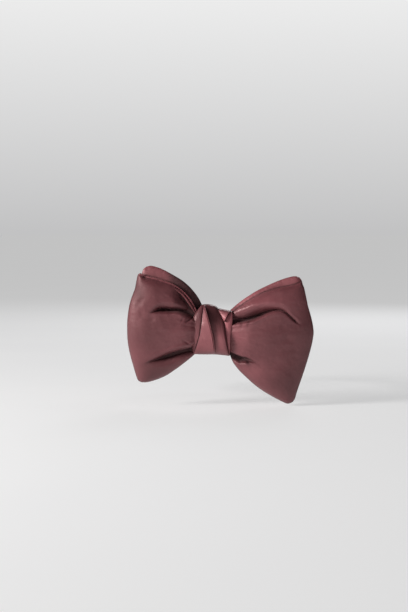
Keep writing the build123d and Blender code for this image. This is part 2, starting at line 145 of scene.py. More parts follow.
def satin(name, dark, mid, light, weave=1.0, rough=0.40):
    """Satin: long floats that catch the light, over a darker ground, with slubs and a fine diagonal weave."""
    m, nt, p = nodes_of(name)
    N, L = nt.nodes, nt.links
    uv = N.new("ShaderNodeUVMap"); uv.uv_map = "Cloth"
    tc = N.new("ShaderNodeTexCoord")
    # broad, soft shade differences of the dyed cloth
    broad = N.new("ShaderNodeTexNoise"); broad.inputs["Scale"].default_value = 38
    broad.inputs["Detail"].default_value = 3; broad.inputs["Roughness"].default_value = 0.55
    L.new(tc.outputs["Object"], broad.inputs["Vector"])
    ramp = N.new("ShaderNodeValToRGB")
    ramp.color_ramp.elements[0].position = 0.28; ramp.color_ramp.elements[0].color = (*dark, 1)
    ramp.color_ramp.elements[1].position = 0.74; ramp.color_ramp.elements[1].color = (*light, 1)
    e = ramp.color_ramp.elements.new(0.5); e.color = (*mid, 1)
    L.new(broad.outputs["Fac"], ramp.inputs["Fac"])
    # slubs: noise stretched along the warp
    mp = N.new("ShaderNodeMapping"); mp.inputs["Scale"].default_value = (160, 2600, 1)
    mp.inputs["Rotation"].default_value = (0, 0, math.radians(38))
    L.new(uv.outputs["UV"], mp.inputs["Vector"])
    slub = N.new("ShaderNodeTexNoise"); slub.inputs["Scale"].default_value = 1.0; slub.inputs["Detail"].default_value = 2
    L.new(mp.outputs["Vector"], slub.inputs["Vector"])
    # diagonal weave, 0.42 mm from line to line
    wave = N.new("ShaderNodeTexWave"); wave.wave_type = "BANDS"; wave.bands_direction = "X"
    wave.inputs["Scale"].default_value = 380; wave.inputs["Distortion"].default_value = 0.6
    wave.inputs["Detail"].default_value = 1.0; wave.inputs["Detail Scale"].default_value = 2.0
    rot = N.new("ShaderNodeMapping"); rot.inputs["Rotation"].default_value = (0, 0, math.radians(52))
    L.new(uv.outputs["UV"], rot.inputs["Vector"]); L.new(rot.outputs["Vector"], wave.inputs["Vector"])
    mixw = N.new("ShaderNodeMix"); mixw.data_type = "FLOAT"; mixw.inputs["Factor"].default_value = 0.45
    L.new(slub.outputs["Fac"], mixw.inputs["A"]); L.new(wave.outputs["Fac"], mixw.inputs["B"])
    # colour: the floats are a touch lighter than the ground between them
    val = N.new("ShaderNodeMapRange"); val.inputs["From Min"].default_value = 0.25; val.inputs["From Max"].default_value = 0.75
    val.inputs["To Min"].default_value = 0.90; val.inputs["To Max"].default_value = 1.09
    L.new(mixw.outputs["Result"], val.inputs["Value"])
    mul = N.new("ShaderNodeMix"); mul.data_type = "RGBA"; mul.blend_type = "MULTIPLY"; mul.inputs["Factor"].default_value = 1.0
    L.new(ramp.outputs["Color"], mul.inputs["A"]); L.new(val.outputs["Result"], mul.inputs["B"])
    # painted light and shade: the fold attribute holds painted shade in folds and creases and painted highlights and
    # shade on the faces of the wrap and along seams; it scales the colour
    at = N.new("ShaderNodeAttribute"); at.attribute_name = "fold"
    inv = N.new("ShaderNodeMath"); inv.operation = "SUBTRACT"; inv.inputs[0].default_value = 1.0
    L.new(at.outputs["Fac"], inv.inputs[1])
    mulf = N.new("ShaderNodeMix"); mulf.data_type = "RGBA"; mulf.blend_type = "MULTIPLY"; mulf.inputs["Factor"].default_value = 1.0
    L.new(mul.outputs["Result"], mulf.inputs["A"]); L.new(inv.outputs["Value"], mulf.inputs["B"])
    L.new(mulf.outputs["Result"], p.inputs["Base Color"])
    rr = N.new("ShaderNodeMapRange"); rr.inputs["To Min"].default_value = rough - 0.05; rr.inputs["To Max"].default_value = rough + 0.06
    # where the cloth has been handled and pressed its shine is duller
    nap = N.new("ShaderNodeAttribute"); nap.attribute_name = "nap"
    addr = N.new("ShaderNodeMath"); addr.operation = "ADD"
    L.new(mixw.outputs["Result"], rr.inputs["Value"]); L.new(rr.outputs["Result"], addr.inputs[0])
    L.new(nap.outputs["Fac"], addr.inputs[1]); L.new(addr.outputs["Value"], p.inputs["Roughness"])
    bump = N.new("ShaderNodeBump"); bump.inputs["Strength"].default_value = 0.22 * weave; bump.inputs["Distance"].default_value = 0.00012
    L.new(mixw.outputs["Result"], bump.inputs["Height"])
    fold = N.new("ShaderNodeTexNoise"); fold.inputs["Scale"].default_value = 260; fold.inputs["Detail"].default_value = 2
    L.new(tc.outputs["Object"], fold.inputs["Vector"])
    bump2 = N.new("ShaderNodeBump"); bump2.inputs["Strength"].default_value = 0.18; bump2.inputs["Distance"].default_value = 0.0004
    L.new(fold.outputs["Fac"], bump2.inputs["Height"]); L.new(bump.outputs["Normal"], bump2.inputs["Normal"])
    L.new(bump2.outputs["Normal"], p.inputs["Normal"])
    p.inputs["Metallic"].default_value = 0.0
    p.inputs["Specular IOR Level"].default_value = 0.75
    p.inputs["Specular Tint"].default_value = (1.0, 0.66, 0.66, 1)
    p.inputs["Anisotropic"].default_value = 0.55
    p.inputs["Sheen Weight"].default_value = 0.10
    p.inputs["Sheen Roughness"].default_value = 0.35
    p.inputs["Sheen Tint"].default_value = (0.90, 0.50, 0.50, 1)
    return m


def plain_cloth(name, a, b, scale=900, rough=0.85, bumpd=0.0002):
    m, nt, p = nodes_of(name)
    N, L = nt.nodes, nt.links
    tc = N.new("ShaderNodeTexCoord")
    n1 = N.new("ShaderNodeTexNoise"); n1.inputs["Scale"].default_value = 60; n1.inputs["Detail"].default_value = 4
    L.new(tc.outputs["Object"], n1.inputs["Vector"])
    ramp = N.new("ShaderNodeValToRGB")
    ramp.color_ramp.elements[0].position = 0.3; ramp.color_ramp.elements[0].color = (*a, 1)
    ramp.color_ramp.elements[1].position = 0.7; ramp.color_ramp.elements[1].color = (*b, 1)
    L.new(n1.outputs["Fac"], ramp.inputs["Fac"]); L.new(ramp.outputs["Color"], p.inputs["Base Color"])
    w1 = N.new("ShaderNodeTexWave"); w1.bands_direction = "Z"; w1.inputs["Scale"].default_value = scale; w1.inputs["Distortion"].default_value = 0.8
    w2 = N.new("ShaderNodeTexWave"); w2.bands_direction = "DIAGONAL"; w2.inputs["Scale"].default_value = scale * 0.8; w2.inputs["Distortion"].default_value = 0.8
    L.new(tc.outputs["Object"], w1.inputs["Vector"]); L.new(tc.outputs["Object"], w2.inputs["Vector"])
    mx = N.new("ShaderNodeMath"); mx.operation = "MULTIPLY"
    L.new(w1.outputs["Fac"], mx.inputs[0]); L.new(w2.outputs["Fac"], mx.inputs[1])
    bump = N.new("ShaderNodeBump"); bump.inputs["Strength"].default_value = 0.5; bump.inputs["Distance"].default_value = bumpd
    L.new(mx.outputs["Value"], bump.inputs["Height"]); L.new(bump.outputs["Normal"], p.inputs["Normal"])
    rr = N.new("ShaderNodeMapRange"); rr.inputs["To Min"].default_value = rough - 0.08; rr.inputs["To Max"].default_value = rough + 0.08
    L.new(n1.outputs["Fac"], rr.inputs["Value"]); L.new(rr.outputs["Result"], p.inputs["Roughness"])
    p.inputs["Sheen Weight"].default_value = 0.15
    return m


def metal(name):
    m, nt, p = nodes_of(name)
    N, L = nt.nodes, nt.links
    tc = N.new("ShaderNodeTexCoord")
    mp = N.new("ShaderNodeMapping"); mp.inputs["Scale"].default_value = (1200, 1200, 90)
    L.new(tc.outputs["Object"], mp.inputs["Vector"])
    n1 = N.new("ShaderNodeTexNoise"); n1.inputs["Scale"].default_value = 1.0; n1.inputs["Detail"].default_value = 4
    L.new(mp.outputs["Vector"], n1.inputs["Vector"])
    n2 = N.new("ShaderNodeTexNoise"); n2.inputs["Scale"].default_value = 220; n2.inputs["Detail"].default_value = 3
    L.new(tc.outputs["Object"], n2.inputs["Vector"])
    ramp = N.new("ShaderNodeValToRGB")
    ramp.color_ramp.elements[0].position = 0.3; ramp.color_ramp.elements[0].color = (0.46, 0.445, 0.425, 1)
    ramp.color_ramp.elements[1].position = 0.7; ramp.color_ramp.elements[1].color = (0.72, 0.71, 0.69, 1)
    L.new(n2.outputs["Fac"], ramp.inputs["Fac"]); L.new(ramp.outputs["Color"], p.inputs["Base Color"])
    rr = N.new("ShaderNodeMapRange"); rr.inputs["To Min"].default_value = 0.16; rr.inputs["To Max"].default_value = 0.36
    L.new(n1.outputs["Fac"], rr.inputs["Value"]); L.new(rr.outputs["Result"], p.inputs["Roughness"])
    bump = N.new("ShaderNodeBump"); bump.inputs["Strength"].default_value = 0.12; bump.inputs["Distance"].default_value = 0.0001
    L.new(n1.outputs["Fac"], bump.inputs["Height"]); L.new(bump.outputs["Normal"], p.inputs["Normal"])
    p.inputs["Metallic"].default_value = 1.0
    return m


SATIN = satin("satin_dusty_burgundy", (0.140, 0.043, 0.049), (0.168, 0.053, 0.060), (0.200, 0.066, 0.074), rough=0.41)
THREAD = plain_cloth("thread_burgundy", (0.10, 0.032, 0.032), (0.17, 0.06, 0.058), scale=2600, rough=0.6)
CANVAS = plain_cloth("interlining_canvas", (0.55, 0.52, 0.46), (0.68, 0.66, 0.60), scale=1400)
WADDING = plain_cloth("wadding_fleece", (0.72, 0.71, 0.68), (0.84, 0.83, 0.80), scale=500, bumpd=0.0006)
LABEL = plain_cloth("woven_tab", (0.52, 0.47, 0.41), (0.64, 0.59, 0.52), scale=2200)
NICKEL = metal("nickel_plated_steel")

# ------------------------------------------------------------------ wing outlines, mm in X and Z
LF = dict(
    top=[(-8.6, 12.2), (-10.8, 14.7), (-13.3, 19.2), (-15.4, 22.4), (-18.5, 25.9), (-22.4, 29.4), (-26.9, 32.3), (-32.2, 34.3), (-38.5, 36.3), (-44.8, 37.8), (-47.9, 39.0), (-50.2, 39.9)],
    out=[(-51.5, -35.9), (-52.5, -34.3), (-53.9, -30.1), (-55.3, -25.2), (-56.7, -20.3), (-57.9, -15.4), (-58.8, -10.5), (-59.4, -4.9), (-59.5, 0.7), (-59.4, 6.3), (-58.8, 11.9), (-58.0, 16.8), (-56.7, 21.7), (-55.4, 25.2), (-53.9, 29.4), (-52.8, 35.0), (-51.9, 38.6), (-50.2, 39.9)],
    bot=[(-8.6, -13.2), (-11.2, -16.1), (-13.3, -18.2), (-17.5, -21.7), (-22.4, -25.5), (-27.3, -29.0), (-32.2, -32.2), (-38.5, -34.9), (-44.8, -36.7), (-49.0, -36.9), (-51.5, -35.9)],
)
RF = dict(
    top=[(9.6, 9.2), (11.9, 9.9), (14.0, 11.6), (15.7, 13.2), (18.9, 16.0), (23.1, 18.9), (27.3, 21.7), (31.5, 24.2), (38.5, 27.1), (46.2, 29.4), (54.6, 31.1), (60.5, 32.8), (62.4, 33.6)],
    out=[(56.3, -51.1), (58.2, -48.6), (59.6, -44.1), (61.2, -39.2), (63.5, -32.5), (65.8, -25.5), (68.1, -17.8), (70.0, -10.5), (70.8, -6.3), (71.3, -2.1), (70.9, 2.4), (70.0, 7.0), (68.7, 11.9), (67.2, 17.1), (65.8, 23.8), (64.3, 30.1), (62.4, 33.6)],
    bot=[(8.6, -12.2), (12.2, -16.8), (13.6, -20.3), (15.4, -23.8), (18.9, -28.3), (23.1, -32.5), (29.7, -38.5), (36.4, -43.4), (42.7, -47.1), (49.4, -50.6), (53.2, -52.0), (56.3, -51.1)],
)
LB = dict(
    top=[(-5.6, 14.2), (-7.7, 18.9), (-9.8, 22.8), (-12.6, 26.6), (-15.7, 30.1), (-19.6, 33.6), (-23.4, 36.2), (-27.3, 38.5), (-32.2, 41.3), (-37.1, 43.5), (-42.7, 44.9), (-46.2, 44.2)],
    out=[(-48.6, -32.6), (-51.6, -27.0), (-54.5, -14.0), (-56.0, 0.0), (-55.2, 12.0), (-52.4, 26.0), (-50.2, 36.0), (-48.4, 42.0), (-46.2, 44.2)],
    bot=[(-6.6, -12.0), (-14.0, -16.0), (-22.4, -22.6), (-31.0, -28.8), (-42.6, -33.4), (-48.6, -32.6)],
)
RB = dict(
    top=[(7.6, 9.6), (11.9, 12.9), (16.1, 16.6), (19.6, 19.4), (23.1, 22.0), (27.3, 24.7), (31.5, 27.3), (38.5, 30.8), (46.2, 34.2), (53.2, 36.6), (58.4, 37.6), (61.4, 36.8)],
    out=[(54.6, -46.0), (58.4, -37.0), (62.8, -24.6), (66.4, -9.0), (67.2, 3.0), (66.4, 14.0), (64.6, 26.0), (63.4, 33.6), (61.4, 36.8)],
    bot=[(6.6, -12.0), (14.0, -17.0), (23.1, -29.4), (35.4, -39.6), (47.6, -46.2), (54.6, -46.0)],
)


def patch(w, nu, nv):
    """Coons patch over a wing: u from the root to the side, v from the lower edge to the top."""
    s = np.linspace(0, 1, nu)
    u = 0.35 * s + 0.65 * np.sin(s * math.pi / 2)
    s = np.linspace(0, 1, nv)
    v = 0.45 * s + 0.55 * (0.5 - 0.5 * np.cos(math.pi * s))
    T, B, O = resample(w["top"], u), resample(w["bot"], u), resample(w["out"], v)
    R = (1 - v)[:, None] * np.array(w["bot"][0]) + v[:, None] * np.array(w["top"][0])
    U, V = u[:, None, None], v[None, :, None]
    c00, c01, c10, c11 = R[0], R[-1], O[0], O[-1]
    S = (1 - V) * B[:, None] + V * T[:, None] + (1 - U) * R[None] + U * O[None]
    S -= (1 - U) * (1 - V) * c00 + (1 - U) * V * c01 + U * (1 - V) * c10 + U * V * c11
    return S[..., 0], S[..., 1], np.broadcast_to(u[:, None], (nu, nv)), np.broadcast_to(v[None, :], (nu, nv))


def rim_distance(w, x, z):
    """Distance to the sewn edge, not counting the root: (plain, softened so that no ridge runs into the corners)."""
    d, soft = np.full(x.size, 1e9), np.zeros(x.size)
    for key in ("top", "out", "bot"):
        p = resample(w[key], 240)
        one = np.empty(x.size)
        for part in np.array_split(np.arange(x.size), 24):
            q = np.stack([x.ravel()[part], z.ravel()[part]], 1)[:, None]
            one[part] = np.linalg.norm(q - p[None], axis=2).min(1)
        d = np.minimum(d, one)
        soft += (one + 1e-6) ** -2.0
    return d.reshape(x.shape), (soft ** (-1 / 2.0)).reshape(x.shape)


def puff(d, r):
    t = np.clip(d / r, 0, 1)
    return np.sqrt(1 - (1 - t) ** 2)


SHADE = {}


def shade(mask):
    SHADE["now"] = np.maximum(SHADE["now"], mask) if SHADE.get("now") is not None else mask


def crease(line, x, z, depth, above, below, fade, slit=0.0, slit_w=0.35, lip=0.0, lip_at=1.2, lip_w=0.6, flat=(0.0, 0.0), power=1.9, dark=0.78, keen=1.5):
    """A fold pressed in between two stuffed lobes; above and below are the radii of the lobes on its two sides,
    and flat is how far its floor reaches to each side. The line runs from left to right, so its left side is above."""
    n, s, _ = along(line, x, z)
    a = smoothstep(fade[0], fade[1], s) * (1 - smoothstep(fade[2], fade[3], s))
    k = 0.55 + 0.45 * a
    up = np.clip(n - flat[0] * a, 0, None) / (above * k)
    dn = np.clip(-n - flat[1] * a, 0, None) / (below * k)
    t = np.clip(up + dn, 0, 1)
    prof = 0.40 * (1 - np.sqrt(1 - (1 - t) ** 2)) + 0.60 * (1 - t) ** power
    # painted shade: the fold is darkened in the colour, deepest at its floor; dark and keen set how strong and how
    # narrow it is
    shade(dark * np.sqrt(a) * prof ** keen)
    g = -depth * a * prof
    g -= slit * a * np.exp(-((n / slit_w) ** 2))
    g += lip * a * np.exp(-(((n - lip_at) / lip_w) ** 2))
    return g


def dent(x, z, cx, cz, rx, rz, depth, turn=0.0):
    c, s = math.cos(turn), math.sin(turn)
    u, v = c * (x - cx) + s * (z - cz), -s * (x - cx) + c * (z - cz)
    return -depth * np.exp(-((u / rx) ** 2 + (v / rz) ** 2))


C1 = [(-45.0, 12.2), (-41.5, 13.0), (-36.4, 14.4), (-32.2, 14.6), (-28.8, 14.3), (-23.7, 14.3), (-17.3, 12.7), (-13.5, 10.5), (-9.5, 8.0)]
POCKET = [(-27.0, 30.6), (-24.9, 27.6), (-19.9, 22.4), (-14.1, 14.3), (-11.0, 9.6)]
PINCH1 = [(-27.5, 32.0), (-25.0, 30.2), (-19.5, 25.6), (-14.4, 18.6), (-11.6, 13.0), (-10.0, 9.6)]
PINCH2 = [(-19.5, 27.6), (-17.3, 25.4), (-13.2, 20.0), (-10.8, 15.0), (-9.4, 11.0)]
RIDGES = ([(-24.5, 29.2), (-19.6, 24.2), (-14.2, 16.9), (-11.3, 11.6)], [(-19.2, 26.9), (-14.1, 19.5), (-10.8, 13.6)])
C2 = [(-50.0, -24.2), (-45.8, -22.7), (-38.5, -19.9), (-30.1, -16.8), (-24.5, -15.0), (-18.3, -13.3), (-15.4, -12.8), (-10.0, -11.4)]
C3 = [(9.0, 4.4), (14.7, 5.8), (20.4, 6.7), (27.4, 8.3), (33.5, 10.6), (39.6, 13.2), (44.9, 14.1), (50.1, 13.4), (54.5, 9.6), (58.9, 5.7), (62.3, 3.9)]
C4 = [(9.0, -14.2), (14.7, -16.6), (19.5, -18.4), (24.8, -19.5), (30.0, -21.9), (34.4, -23.2), (38.0, -24.6)]

KX, KZ = 0.0, 0.3


def radial(x, z, k, phase, sign):
    """Gathers that fan out of the knot, dying away with distance."""
    r = np.hypot(x - KX, z - KZ)
    a = np.arctan2(z - KZ, sign * (x - KX))
    return np.cos(k * a + phase) * np.exp(-((r - 13) / 9.0).clip(0)), r, a


def broad_painted_light(x, z):
    """Broad painted highlights and painted shade over the wings."""
    g = -0.60 * np.exp(-(((x - 39) / 17) ** 2 + ((z - 20.5) / 5.5) ** 2))
    g -= 0.50 * np.exp(-(((x - 18.5) / 8) ** 2 + ((z + 3) / 9.0) ** 2))
    g -= 0.36 * np.exp(-(((x - 31) / 6.5) ** 2 + ((z + 28) / 5) ** 2))
    g += 0.20 * smoothstep(44.0, 68.0, x) * smoothstep(14.0, 2.0, z)
    g += 0.16 * np.exp(-(((x - 48) / 10) ** 2 + ((z + 38) / 8) ** 2))
    g += 0.24 * np.exp(-(((x + 44) / 12) ** 2 + ((z + 4) / 12) ** 2))
    g += 0.36 * np.exp(-(((x + 40) / 14) ** 2 + ((z + 29) / 8) ** 2))
    g += 0.15 * np.exp(-(((x + 57) / 4) ** 2 + ((z - 6) / 14) ** 2))
    g += 0.50 * np.exp(-(((x + 52) / 5) ** 2 + ((z - 28) / 9) ** 2))
    g -= 0.18 * np.exp(-(((x + 20) / 7) ** 2 + ((z + 1) / 8) ** 2))
    return g


def ridge_painted_highlight(x, z):
    # painted highlights along the ridges between the pinches by the knot
    g = np.zeros_like(x)
    for line in RIDGES:
        rn, rs, rd = along(line, x, z)
        g -= 1.30 * np.exp(-((rd / 0.5) ** 2)) * np.sin(math.pi * np.clip(rs, 0, 1)) ** 0.5
    return g


def front_left_relief(x, z, d, u):
    h = np.zeros_like(x)
    h += 1.3 * np.exp(-(((x + 32) / 15) ** 2 + ((z - 0.5) / 9.5) ** 2))
    h += 0.9 * np.exp(-(((x + 42) / 10) ** 2 + ((z - 25) / 9) ** 2))
    h += 0.5 * np.exp(-(((x + 40) / 12) ** 2 + ((z + 28) / 6) ** 2))
    h += crease(C1, x, z, 5.8, 5.5, 2.4, (0.02, 0.30, 0.98, 1.0), slit=0.5, lip=0.3, lip_at=2.0, lip_w=0.6, flat=(0.3, 0.8), dark=0.84)
    h += crease(C2, x, z, 5.4, 2.4, 7.5, (0.0, 0.58, 0.99, 1.0), flat=(0.2, 2.0), lip=0.4, lip_at=3.4, lip_w=1.2)
    h += crease(POCKET, x, z, 5.6, 1.0, 8.5, (0.05, 0.42, 0.99, 1.0), slit=0.5, flat=(0.0, 0.6))
    h += crease(PINCH1, x, z, 2.6, 1.1, 1.3, (0.0, 0.25, 0.99, 1.0), slit=0.5)
    h += crease(PINCH2, x, z, 2.2, 1.0, 1.1, (0.0, 0.35, 0.99, 1.0), slit=0.4)
    h -= 1.6 * smoothstep(-52.0, -24.0, x) * smoothstep(14.0, 24.0, z)
    # dents below the lower fold, with painted shade in them
    for px, pz, t, rz, dep in ((-23.4, -17.0, -0.50, 2.2, 0.25), (-27.4, -18.8, -0.65, 2.4, 0.3), (-32.6, -20.4, -0.75, 2.2, 0.2)):
        h += dent(x, z, px, pz, 1.3, rz, dep, t)
        shade(0.62 * np.exp(-(((math.cos(t) * (x - px) + math.sin(t) * (z - pz)) / 0.8) ** 2 + ((-math.sin(t) * (x - px) + math.cos(t) * (z - pz)) / (rz * 0.9)) ** 2)))
    for line in RIDGES:
        rn, rs, rd = along(line, x, z)
        h += 0.35 * np.exp(-((rd / 0.5) ** 2)) * np.sin(math.pi * np.clip(rs, 0, 1)) ** 0.5
    # a dent at the upper corner, with painted shade in it
    h += dent(x, z, -46.2, 37.4, 2.0, 1.2, 1.2, 0.35)
    shade(0.6 * np.exp(-(((x + 46.2) / 2.2) ** 2 + ((z - 37.4) / 1.1) ** 2)))
    h += dent(x, z, -50.5, 19.5, 4.5, 2.2, 0.35, 0.9)
    h += dent(x, z, -42.5, 8.0, 3.6, 2.2, 0.4, 0.4)
    h += dent(x, z, -49.0, 12.0, 2.0, 4.5, 0.35, 0.3)
    for px, pz, t, rz, dep in ((-16.4, 7.4, -0.9, 2.6, 0.5), (-20.6, 7.6, -0.5, 2.0, 0.35), (-17.4, -8.4, 1.0, 2.8, 0.4)):
        h += dent(x, z, px, pz, 0.8, rz, dep, t)
    g, r, a = radial(x, z, 11.0, 0.4, -1)
    h += 0.22 * g
    return h


def rib_painted_shading(x, z):
    """Painted light and shade on the coarse ribs where the cloth is strained below the lower right fold; the ribs are
    also in the relief.
    """
    m = np.exp(-(((x - 29) / 6.5) ** 2 + ((z + 27.5) / 4.6) ** 2))
    return -0.26 * m * np.sin((x * 0.55 - z * 0.83) * 2 * math.pi / 1.3)


def front_right_relief(x, z, d, u):
    h = np.zeros_like(x)
    h += 0.9 * np.exp(-(((x - 27) / 9) ** 2 + ((z - 19.5) / 4.5) ** 2))
    h += 1.2 * np.exp(-(((x - 34) / 15) ** 2 + ((z + 4) / 11) ** 2))
    h += 0.9 * np.exp(-(((x - 33) / 16) ** 2 + ((z - 19) / 4.5) ** 2))
    h += 0.6 * np.exp(-(((x - 50) / 10) ** 2 + ((z + 34) / 12) ** 2))
    h += crease(C3, x, z, 7.4, 8.0, 1.4, (0.0, 0.02, 0.36, 0.86), flat=(0.8, 0.7), lip=0.4, lip_at=-2.9, lip_w=1.2, power=1.6, dark=0.88)
    h += crease(C3, x, z, 1.6, 2.6, 1.5, (0.52, 0.66, 0.90, 1.0), slit=0.3)
    h += crease(C4, x, z, 6.0, 1.3, 3.2, (0.0, 0.02, 0.36, 0.86), flat=(0.0, 2.2), dark=0.90, keen=0.8)
    # dents in the lower fold, with painted shade in them
    for px, pz, t, rx, rz, dep in ((19.2, -20.6, 0.30, 1.2, 2.6, 0.7), (24.7, -21.9, 0.70, 1.2, 2.6, 0.6)):
        h += dent(x, z, px, pz, rx, rz, dep, t)
        shade(0.85 * np.exp(-(((math.cos(t) * (x - px) + math.sin(t) * (z - pz)) / (rx * 1.1)) ** 2 + ((-math.sin(t) * (x - px) + math.cos(t) * (z - pz)) / (rz * 0.9)) ** 2)))
    # soft gathers that hang from the upper fold, with painted shade in them
    nn, ss, _ = along(C3, x, z)
    hang = np.where(nn < 0, np.exp(-((-nn / 4.2) ** 2)), 0)
    g1 = np.exp(-(((x - 20.6 - 0.05 * nn) / 1.0) ** 2)) + 0.9 * np.exp(-(((x - 25.9 - 0.25 * nn) / 1.1) ** 2)) + 0.4 * np.exp(-(((x - 16.6) / 0.9) ** 2))
    h -= 0.42 * g1 * hang
    shade(0.62 * np.clip(g1, 0, 1) * hang)
    m = np.exp(-(((x - 29) / 6.5) ** 2 + ((z + 27.5) / 4.6) ** 2))
    h += 0.07 * m * np.sin((x * 0.55 - z * 0.83) * 2 * math.pi / 1.3)
    g, r, a = radial(x, z, 11.0, 1.2, 1)
    h += 0.22 * g
    return h


def back_relief(x, z, d, u):
    # painted shade on the rear wings: darker towards the knot on the left, and a painted contact shadow along the front
    # wings' top edges
    near = np.clip(1 - (np.abs(x) - 8.0) / 34.0, 0, 1)
    shade(np.where(x < 0, 0.66 * smoothstep(-33.0, -25.0, x), 0.0 * near))
    for w in (LF, RF):
        shade((0.22 + 0.58 * smoothstep(-33.0, -25.0, x)) * np.exp(-((along(w["top"], x, z)[2] / 0.75) ** 2)) * (x < 0) + 0.55 * np.exp(-((along(w["top"], x, z)[2] / 0.55) ** 2)) * (x >= 0))
    return 0.4 * np.sin(x * 0.16 + z * 0.11)


def wing(name, w, sign, seam, crown, rear, round_f, round_r, relief, nu=220, nv=230, seed=3.0, root_front=16.2, fall=0.0, bead=0.0, root_level=0.6, root_to=22.0):
    """One stuffed wing as a closed form: a face sheet and a rear sheet that meet in a seam along the edge."""
    x, z, u, v = patch(w, nu, nv)
    d, ds = rim_distance(w, x, z)
    ax = np.abs(x)
    out = smoothstep(8.0, root_to, ax)
    body = puff(ds, round_f)
    # towards the knot the cloth is gathered into the wrap
    zr = np.clip(np.abs(z) / 17.0, 0, 1)
    root_shape = np.sqrt(np.clip(1 - zr**2.6, 0, 1))
    across = root_level + (1 - root_level) * out - fall * smoothstep(36.0, 70.0, ax)
    front = seam + (crown * body) * across
    front_root = seam + (root_front - seam) * root_shape
    k = smoothstep(9.0, 15.0, ax)
    front = front * k + np.minimum(front_root, seam + crown * body) * (1 - k)
    SHADE["now"] = np.zeros_like(x)
    rel = relief(x, z, d, u)
    # painted light and shade for the colour: crease shade, broad highlights and shade, ridge and rib light and shade
    painted_tone = SHADE["now"] + broad_painted_light(x, z) + {"front_bow_left": ridge_painted_highlight, "front_bow_right": rib_painted_shading}.get(name, lambda a, b: 0.0)(x, z)
    # painted light: the visible strips of the rear wings are lightened, the left one away from the knot and the right
    # one
    if name == "back_bow_left":
        painted_tone = painted_tone - 0.62 * smoothstep(-27.0, -34.0, x) * np.clip(1 - SHADE["now"] * 2, 0, 1)
    if name == "back_bow_right":
        painted_tone = painted_tone - 0.95 * smoothstep(9.0, 20.0, x) * np.clip(1 - SHADE["now"] * 2, 0, 1)
    wr = 0.22 * field(x, z, 0.09, seed) + 0.10 * field(x, z, 0.26, seed + 7)
    # fine tension lines that run from the knot
    g, r, a = radial(x, z, 1.0, 0.0, sign)
    tension = 0.10 * field(a * 60, r * 0.35, 0.16, seed + 3)
    front = front + (rel + wr + tension) * puff(d, 5.0)
    front = np.maximum(front, seam + 0.15 * puff(d, 1.5))
    back = seam - rear * puff(ds, round_r) * (0.55 + 0.45 * out)
    back += 0.20 * field(x, z, 0.10, seed + 20) * puff(d, 5.0)
    # puckers where the needle drew the edge seam in
    t = np.arange(1)
    edge = np.exp(-d / 1.6)
    per = np.hypot(x, z)
    pucker = 0.05 * np.sin(per * 2.1 + field(x, z, 0.3, seed + 40) * 2.0) * np.exp(-(((d - 1.6) / 1.2) ** 2))
    top_n, top_s, top_d = along(w["top"], x, z)
    # painted highlight along the top seam of the front wings
    painted_tone = painted_tone - (3.4 * bead + 0.15) * np.exp(-(((top_d - 0.5) / 0.5) ** 2)) * smoothstep(0.0, 0.12, top_s) * (seam > 9)
    # painted shade along the outer and lower seams of the front wings
    for key in ("out", "bot"):
        painted_tone = painted_tone + 0.30 * np.exp(-((along(w[key], x, z)[2] / 0.8) ** 2)) * (seam > 9)
    front += pucker + bead * np.exp(-(((top_d - 0.55) / 0.42) ** 2)) * smoothstep(0.0, 0.12, top_s)
    back -= pucker
    n = nu * nv
    fv = np.stack([x, -front, z], -1).reshape(-1, 3) * MM
    bv = np.stack([x, -back, z], -1).reshape(-1, 3) * MM
    uvf = np.stack([x, z], -1).reshape(-1, 2) * MM
    idx = np.arange(n).reshape(nu, nv)
    rimmed = np.zeros((nu, nv), bool)
    rimmed[:, 0] = rimmed[:, -1] = rimmed[-1, :] = True
    # the rim is shared by both sheets
    verts = list(fv)
    uvs = list(uvf)
    painted_light_values = list(painted_tone.ravel())
    back_id = np.empty((nu, nv), int)
    for i in range(nu):
        for j in range(nv):
            if rimmed[i, j]:
                back_id[i, j] = idx[i, j]
                verts[idx[i, j]] = np.array([x[i, j], -seam, z[i, j]]) * MM
            else:
                back_id[i, j] = len(verts)
                verts.append(bv[idx[i, j]])
                uvs.append(uvf[idx[i, j]])
                painted_light_values.append(0.0)
    faces = []
    for i in range(nu - 1):
        for j in range(nv - 1):
            faces.append((idx[i, j], idx[i + 1, j], idx[i + 1, j + 1], idx[i, j + 1]))
            faces.append((back_id[i, j], back_id[i, j + 1], back_id[i + 1, j + 1], back_id[i + 1, j]))
    for j in range(nv - 1):  # the root, closed inside the knot
        a, b, c, e = idx[0, j], idx[0, j + 1], back_id[0, j + 1], back_id[0, j]
        f = [a, b]
        if c != b: f.append(c)
        if e != a: f.append(e)
        if len(f) > 2:
            faces.append(tuple(f))
    o = new_object(name, verts, [tuple(int(q) for q in f) for f in faces], SATIN, uvs)
    put_fold(o, painted_light_values)
    vx, vz = np.array([p[0] for p in verts]) / MM, np.array([p[2] for p in verts]) / MM
    dull = np.zeros(len(verts))
    dull[:n] = 0.40 * np.clip(SHADE["now"], 0, 1).ravel()
    dull += 0.22 * np.exp(-(((vx + 53) / 7) ** 2 + ((vz - 28) / 11) ** 2))
    dull += 0.26 * np.exp(-(((vx - 22) / 9) ** 2 + ((vz - 4.0) / 2.6) ** 2))
    put_fold(o, dull, "nap")
    outward(o)
    return o


